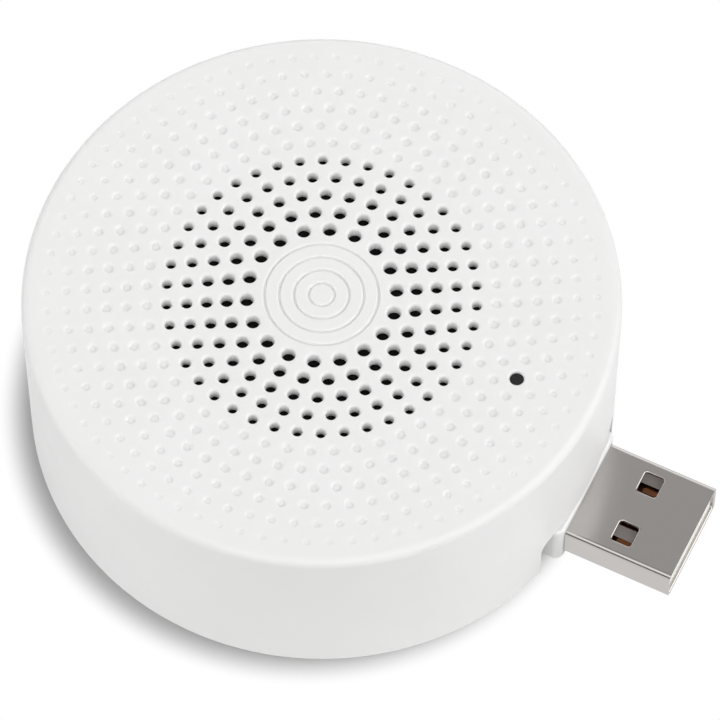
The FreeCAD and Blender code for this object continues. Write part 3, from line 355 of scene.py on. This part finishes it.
def make_materials():
    """One material for each finish that the record names."""
    _, tongue_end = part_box("usb_insulator")
    return {
        "housing_white": moulded_plastic("housing_white", (0.80, 0.80, 0.797), (0.79, 0.79, 0.785),
                                         0.42, HOUSING_TRANSLUCENCY),
        "black_cloth": woven_cloth("black_cloth", (0.002, 0.002, 0.002), (0.008, 0.008, 0.008)),
        "black_foam": moulded_plastic("black_foam", (0.012, 0.012, 0.012), (0.02, 0.02, 0.02), 0.9),
        "smoked_lens": coated_gloss("smoked_lens", (0.006, 0.005, 0.005), 0.08),
        "led_white": coated_gloss("led_white", (0.85, 0.83, 0.7), 0.15),
        "black_steel": moulded_plastic("black_steel", (0.015, 0.015, 0.017), (0.02, 0.02, 0.02),
                                       0.4),
        "zinc_steel": brushed_metal("zinc_steel", (0.50, 0.51, 0.53), (0.40, 0.41, 0.42), 0.35,
                                    LINES_ALONG),
        "magnet_metal": brushed_metal("magnet_metal", (0.55, 0.55, 0.56), (0.5, 0.5, 0.5), 0.2,
                                      LINES_ALONG),
        "copper": brushed_metal("copper", (0.60, 0.25, 0.10), (0.5, 0.2, 0.08), 0.3, LINES_AROUND),
        "black_paper": moulded_plastic("black_paper", (0.02, 0.02, 0.02), (0.03, 0.03, 0.03), 0.85),
        "brown_board": moulded_plastic("brown_board", (0.25, 0.11, 0.04), (0.2, 0.09, 0.035), 0.6),
        "solder": brushed_metal("solder", (0.6, 0.6, 0.62), (0.5, 0.5, 0.5), 0.2, NO_LINES),
        "connector_white": moulded_plastic("connector_white", (0.75, 0.72, 0.65), (0.7, 0.67, 0.6),
                                           0.5),
        "wire_red": coated_gloss("wire_red", (0.45, 0.015, 0.01), 0.35),
        "wire_black": coated_gloss("wire_black", (0.01, 0.01, 0.01), 0.35),
        "green_board": coated_gloss("green_board", (0.01, 0.10, 0.03), 0.3),
        "chip_black": moulded_plastic("chip_black", (0.016, 0.016, 0.016), (0.02, 0.02, 0.02), 0.6),
        "ferrite": moulded_plastic("ferrite", (0.04, 0.04, 0.042), (0.05, 0.05, 0.05), 0.7),
        "aluminium_can": brushed_metal("aluminium_can", (0.7, 0.7, 0.71), (0.6, 0.6, 0.6), 0.3,
                                       LINES_AROUND),
        "plug_steel": brushed_metal("plug_steel", (0.54, 0.515, 0.50), (0.525, 0.50, 0.485), 0.20,
                                    LINES_ALONG),
        # Cream tongue whose grey within the shell is a painted shade
        "insulator_cream": tongue_plastic("insulator_cream", (0.88, 0.87, 0.82), (0.56, 0.52, 0.49),
                                          tongue_end.x),
        # Contacts: gold darkened to a deep brown, a painted shade of the dim inside of the plug
        "contact_gold": brushed_metal("contact_gold", (0.24, 0.10, 0.045), (0.11, 0.04, 0.02), 0.12,
                                      LINES_ALONG),
    }


def finish_nodes(frame, materials):
    """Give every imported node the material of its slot, and smooth its curved faces."""
    for part in frame["record"]["subparts"]:
        node = frame["nodes"][part["node"]]
        for slot in node.material_slots:
            slot.material = materials[part["material_slot"]]
        smooth(node.data)


# Meshes of both pieces

def smooth(mesh):
    mesh.shade_smooth()
    mesh.set_sharp_from_angle(angle=CREASE)


def shell_of(node):
    """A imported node's form, with its loose triangles joined."""
    shell = bmesh.new()
    shell.from_mesh(node.data)
    bmesh.ops.remove_doubles(shell, verts=shell.verts, dist=WELD_DISTANCE)
    return shell


def near_height(edge, height):
    return all(abs(vertex.co.z - height) < SAME_PLACE for vertex in edge.verts)


def dressed(shell, name, node, slot, materials):
    """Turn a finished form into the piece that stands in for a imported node."""
    mesh = bpy.data.meshes.new(name)
    shell.to_mesh(mesh)
    shell.free()
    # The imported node's own normals no longer fit
    stale = mesh.attributes.get("custom_normal")
    if stale:
        mesh.attributes.remove(stale)
    smooth(mesh)
    mesh.materials.append(materials[slot])
    piece = bpy.data.objects.new(name, mesh)
    bpy.context.scene.collection.objects.link(piece)
    weights = piece.modifiers.new("even_normals", "WEIGHTED_NORMAL")
    weights.keep_sharp = True
    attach(piece, "root")
    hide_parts(node)


# Dimpled top

def boundary_loops(shell, height):
    """Closed loops of open edges at one height, each as vertices in order."""
    edges = {edge for edge in shell.edges if edge.is_boundary and near_height(edge, height)}
    loops = []
    while edges:
        edge = edges.pop()
        loop = [edge.verts[0], edge.verts[1]]
        while loop[-1] is not loop[0]:
            onward = next(other for other in loop[-1].link_edges if other in edges)
            edges.remove(onward)
            loop.append(onward.other_vert(loop[-1]))
        loops.append(loop[:-1])
    return loops


def middle_of(loop):
    return sum((vertex.co for vertex in loop), Vector()) / len(loop)


def flat_distance(point):
    return math.hypot(point.x, point.y)


def circle_points(centre, radius, segments, height):
    turns = [2 * math.pi * index / segments for index in range(segments)]
    return [Vector((centre.x + radius * math.cos(turn), centre.y + radius * math.sin(turn), height))
            for turn in turns]


def open_top(shell, top):
    """Take away the flat face of the top and the engraved rings at its centre."""
    reach = CENTRE_RADIUS + ENGRAVING_WIDTH
    shown = []
    for face in shell.faces:
        level = all(abs(vertex.co.z - top) < SAME_PLACE for vertex in face.verts)
        high = all(vertex.co.z > top - 2 * ENGRAVING_DEPTH for vertex in face.verts)
        central = all(flat_distance(vertex.co) < reach for vertex in face.verts)
        if level or (high and central):
            shown.append(face)
    bmesh.ops.delete(shell, geom=shown, context="FACES")


def join_rings(shell, outer, inner):
    """Quads between two rings of as many vertices."""
    count = len(outer)
    for index in range(count):
        after = (index + 1) % count
        shell.faces.new((outer[index], outer[after], inner[after], inner[index]))


def add_dish(shell, rings):
    """Join rings of points, from the outer one inward, and close the last. Returns the outer rim."""
    rings = [[shell.verts.new(point) for point in points] for points in rings]
    for outer, inner in zip(rings, rings[1:]):
        join_rings(shell, outer, inner)
    shell.faces.new(rings[-1])
    return rings[0]


def add_centre(shell, top):
    """Engraved rings with soft edges, turned about the axis. Returns the rim in the flat face."""
    half = ENGRAVING_WIDTH / 2
    rings = []
    for ring in range(CENTRE_RINGS):
        middle = CENTRE_RADIUS - ring * CENTRE_RING_PITCH
        for share, sink in GROOVE:
            height = top - ENGRAVING_DEPTH * sink
            rings.append(circle_points(Vector(), middle + half * share, CENTRE_SEGMENTS, height))
    return add_dish(shell, rings)


def add_dimple(shell, centre, radius, depth, top):
    """A shallow dish with a flat bottom and a soft rim. Returns its outer rim."""
    rings = []
    for share, sink in DIMPLE_PROFILE:
        around = radius + DIMPLE_ROUNDING * share
        rings.append(circle_points(centre, around, DIMPLE_SEGMENTS, top - depth * sink))
    return add_dish(shell, rings)


def round_hole(shell, loop, top):
    """Lower a hole's upper edge and lead it out to the face along a quarter circle.

    Returns the rim in the face.
    """
    centre = middle_of(loop)
    outward = [(vertex.co - centre).normalized() for vertex in loop]
    for vertex in loop:
        vertex.co.z = top - HOLE_ROUNDING
    inner = loop
    for step in range(1, ROUNDING_STEPS + 1):
        turn = math.pi / 2 * step / ROUNDING_STEPS
        out = HOLE_ROUNDING * (1 - math.cos(turn))
        rise = Vector((0, 0, HOLE_ROUNDING * math.sin(turn)))
        ring = [shell.verts.new(vertex.co + way * out + rise)
                for vertex, way in zip(loop, outward)]
        join_rings(shell, ring, inner)
        inner = ring
    return inner


def dimple_places(first_ring, pitch, light):
    """Centre and ring number of each dimple, leaving out the one that the light replaces."""
    places = []
    for ring in range(DIMPLE_RINGS):
        number = HOLE_RINGS + ring
        count = HOLES_IN_FIRST_RING + number * MORE_PER_RING
        distance = first_ring + number * pitch
        for index in range(count):
            turn = RING_TURN + 2 * math.pi * index / count
            centre = Vector((distance * math.cos(turn), distance * math.sin(turn), 0))
            if (centre.xy - light.xy).length > pitch / 2:
                places.append((centre, ring))
    return places


def fade(ends, ring):
    """A size that stays full for the first rings of dimples and then fades outward."""
    share = max(0, ring - FULL_DIMPLE_RINGS) / (DIMPLE_RINGS - 1 - FULL_DIMPLE_RINGS)
    return ends[0] + (ends[1] - ends[0]) * share


def fill_top(shell, rims, outer):
    """Flat faces between the outer loop and all the rims inside it."""
    vertices = []
    owners = []
    edges = []
    for number, loop in enumerate([outer] + rims):
        start = len(vertices)
        vertices += loop
        owners += [number] * len(loop)
        edges += [(start + index, start + (index + 1) % len(loop)) for index in range(len(loop))]
    flat = [Vector((vertex.co.x, vertex.co.y)) / MM for vertex in vertices]
    _, _, faces, origins, _, _ = delaunay_2d_cdt(flat, edges, [], 0, FILL_TOLERANCE)
    source = [origin[0] for origin in origins]
    for face in faces:
        corners = [source[index] for index in face]
        rim = {owners[corner] for corner in corners}
        if len(rim) == 1 and rim != {0}:
            continue
        made = shell.faces.new([vertices[corner] for corner in corners])
        made.normal_update()
        if made.normal.z < 0:
            made.normal_flip()


def make_dimpled_housing(frame, materials):
    """The casing's own form with softened holes and the fading rings of dimples round them."""
    _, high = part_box("housing")
    top = high.z
    shell = shell_of(frame["nodes"]["housing"])
    open_top(shell, top)

    # The outermost loop is the edge of the top, the outermost hole is the light's and the next one
    # is in the last ring of the grille
    holes = sorted(boundary_loops(shell, top), key=lambda loop: flat_distance(loop[0].co))
    outer = holes.pop()
    distances = sorted(flat_distance(middle_of(loop)) for loop in holes)
    light = middle_of(max(holes, key=lambda loop: flat_distance(middle_of(loop))))
    pitch = (distances[-2] - distances[0]) / (HOLE_RINGS - 1)

    rims = [add_centre(shell, top)] + [round_hole(shell, loop, top) for loop in holes]
    for centre, ring in dimple_places(distances[0], pitch, light):
        radius = fade(DIMPLE_RADII, ring)
        depth = fade(DIMPLE_DEPTHS, ring)
        rims.append(add_dimple(shell, centre, radius, depth, top))
    fill_top(shell, rims, outer)
    bmesh.ops.recalc_face_normals(shell, faces=shell.faces)

    dressed(shell, "dimpled_housing", "housing", "housing_white", materials)


# Plug

def is_window_corner(edge):
    """Whether an edge is an inner corner of a window, upright in the sheet."""
    along = edge.verts[1].co - edge.verts[0].co
    return along.xy.length < SAME_PLACE and edge.calc_face_angle_signed() < -SQUARE_ANGLE


def is_window_rim(edge, start, end, heights):
    """Whether an edge is the square outer rim of a window, between the casing and the tip."""
    between = all(start < vertex.co.x < end - LEAD_IN for vertex in edge.verts)
    level = any(near_height(edge, height) for height in heights)
    return between and level and edge.calc_face_angle_signed() > SQUARE_ANGLE


def is_mouth_edge(edge, tip):
    """Whether an edge runs round the inside of the plug's mouth, whose middle is the given point."""
    middle = (edge.verts[0].co + edge.verts[1].co) / 2
    at_tip = all(abs(vertex.co.x - tip.x) < SAME_PLACE for vertex in edge.verts)
    return at_tip and any(face.normal.dot(tip - middle) > MOUTH_AHEAD for face in edge.link_faces)


def round_edges(shell, edges, size, steps):
    bmesh.ops.bevel(shell, geom=edges, offset=size, offset_type="OFFSET", segments=steps,
                    profile=0.5, affect="EDGES", clamp_overlap=False)


def make_softened_plug(frame, materials):
    """The plug's shell with rounded windows, whose rims are rolled in, and a lead-in at its tip."""
    _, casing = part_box("housing")
    low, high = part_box("usb_insulator")
    shell = shell_of(frame["nodes"]["usb_shell"])
    bmesh.ops.dissolve_limit(shell, angle_limit=FLAT_ANGLE, verts=shell.verts, edges=shell.edges)

    corners = [edge for edge in shell.edges if is_window_corner(edge)]
    round_edges(shell, corners, WINDOW_CORNER, WINDOW_CORNER_STEPS)

    tip = Vector((max(vertex.co.x for vertex in shell.verts), 0, (low.z + high.z) / 2))
    mouth = [edge for edge in shell.edges if is_mouth_edge(edge, tip)]
    round_edges(shell, mouth, LEAD_IN, LEAD_IN_STEPS)

    outside = [vertex.co.z for vertex in shell.verts if vertex.co.x > casing.x]
    heights = (min(outside), max(outside))
    rims = [edge for edge in shell.edges if is_window_rim(edge, casing.x, tip.x, heights)]
    round_edges(shell, rims, WINDOW_RIM, WINDOW_RIM_STEPS)

    dressed(shell, "softened_plug", "usb_shell", "plug_steel", materials)


# Stage

def tent_direction(turn, height):
    """Unit vector toward a light, turned from the camera's side of the object."""
    around = CAMERA_AZIMUTH - math.pi / 2 + math.radians(turn)
    height = math.radians(height)
    return (math.cos(around) * math.cos(height), math.sin(around) * math.cos(height),
            math.sin(height))


def table_white():
    """The table's white, with painted shade near the casing and plain white to the camera farther
    out.
    """
    material, shader = new_material("floor_white")
    make_matt(shader)
    path = add_node(material, "ShaderNodeLightPath")
    camera = path.outputs["Is Camera Ray"]
    # Painted shade: near the casing the camera sees a darker grey than the colour that lights the
    # casing
    seen = blend_colours(material, camera, FLOOR_BOUNCE, FLOOR_PAINTED_SHADE)
    link(material, seen, shader.inputs["Base Color"])

    # The camera, mirrors and clear bodies see the plain white
    mirrored = combine(material, "MAXIMUM", path.outputs["Is Glossy Ray"],
                       path.outputs["Is Transmission Ray"])
    looked_at = combine(material, "MAXIMUM", camera, mirrored)
    # Painted shadow: shade fades to white with distance from a middle a little to the camera's left
    distance = add_node(material, "ShaderNodeVectorMath", operation="DISTANCE")
    shift = Vector(tent_direction(FLOOR_SHADOW_TURN, 0)) * FLOOR_SHADOW_SHIFT
    distance.inputs[1].default_value = shift
    link(material, object_place(material), distance.inputs[0])
    painted_shadow_fade = remap(material, distance.outputs["Value"], FLOOR_SHADOW_INNER, FLOOR_SHADOW_OUTER,
                   curve="SMOOTHSTEP")

    glow = add_node(material, "ShaderNodeEmission", Strength=1.0)
    mix = add_node(material, "ShaderNodeMixShader")
    output = material.node_tree.nodes["Material Output"]
    link(material, combine(material, "MULTIPLY", painted_shadow_fade, looked_at), mix.inputs["Fac"])
    link(material, shader.outputs["BSDF"], mix.inputs[1])
    link(material, glow.outputs["Emission"], mix.inputs[2])
    link(material, mix.outputs["Shader"], output.inputs["Surface"])
    return material


def make_floor():
    """A plain white table with a soft painted shadow."""
    mesh = bpy.data.meshes.new("floor")
    corners = [(-FLOOR_REACH, -FLOOR_REACH, 0), (FLOOR_REACH, -FLOOR_REACH, 0),
               (FLOOR_REACH, FLOOR_REACH, 0), (-FLOOR_REACH, FLOOR_REACH, 0)]
    mesh.from_pydata(corners, [], [(0, 1, 2, 3)])
    mesh.materials.append(table_white())
    floor = bpy.data.objects.new("floor", mesh)
    floor.location.z = -FLOOR_DROP
    bpy.context.scene.collection.objects.link(floor)


def make_world():
    """A white tent with broad soft lights in it; the camera sees plain white."""
    world = bpy.data.worlds.new("studio")
    bpy.context.scene.world = world
    world.use_nodes = True
    place = add_node(world, "ShaderNodeTexCoord").outputs["Generated"]
    total = None
    for turn, height, strength in TENT_LIGHTS.values():
        toward = add_node(world, "ShaderNodeVectorMath", operation="DOT_PRODUCT")
        toward.inputs[1].default_value = tent_direction(turn, height)
        link(world, place, toward.inputs[0])
        lobe = remap(world, toward.outputs["Value"], math.cos(LIGHT_OUTER), math.cos(LIGHT_INNER),
                     high=strength, curve="SMOOTHSTEP")
        added = add_node(world, "ShaderNodeMath")
        added.inputs[0].default_value = TENT_WHITE
        if total:
            link(world, total, added.inputs[0])
        link(world, lobe, added.inputs[1])
        total = added.outputs["Value"]
    path = add_node(world, "ShaderNodeLightPath")
    seen = add_node(world, "ShaderNodeMix")
    seen.inputs["B"].default_value = 1.0
    link(world, path.outputs["Is Camera Ray"], seen.inputs["Factor"])
    link(world, total, seen.inputs["A"])
    background = world.node_tree.nodes["Background"]
    link(world, seen.outputs["Result"], background.inputs["Strength"])
    background.inputs["Color"].default_value = (1, 1, 1, 1)


def make_camera():
    """Stand the camera so that the centre of the top lands on its pixel of the photograph."""
    _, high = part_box("housing")
    target = Vector((0, 0, high.z))
    turn = CAMERA_AZIMUTH
    tilt = CAMERA_ELEVATION
    right = Vector((math.cos(turn), math.sin(turn), 0))
    back = Vector((math.sin(turn) * math.cos(tilt), -math.cos(turn) * math.cos(tilt),
                   math.sin(tilt)))
    axes = Matrix((right, back.cross(right), back))
    across = (TOP_CENTRE_PIXEL[0] - PHOTO_SIDE / 2) / FOCAL_PIXELS
    down = (TOP_CENTRE_PIXEL[1] - PHOTO_SIDE / 2) / FOCAL_PIXELS
    ahead = Vector((0, 0, -1))
    swing = ahead.rotation_difference(Vector((across, -down, -1))).to_matrix()
    view = swing @ Matrix.Rotation(CAMERA_ROLL, 3, "Z") @ axes
    data = bpy.data.cameras.new("camera")
    data.sensor_width = SENSOR
    data.lens = FOCAL_PIXELS * SENSOR / PHOTO_SIDE
    data.clip_start = CAMERA_CLIP_START
    camera = bpy.data.objects.new("camera", data)
    place = Matrix.Translation(target + back * CAMERA_DISTANCE)
    camera.matrix_world = place @ view.transposed().to_4x4()
    bpy.context.scene.collection.objects.link(camera)
    bpy.context.scene.camera = camera


def main():
    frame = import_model()
    materials = make_materials()
    finish_nodes(frame, materials)
    make_dimpled_housing(frame, materials)
    make_softened_plug(frame, materials)
    make_floor()
    make_world()
    make_camera()
    bpy.context.scene.view_settings.view_transform = "Standard"


main()
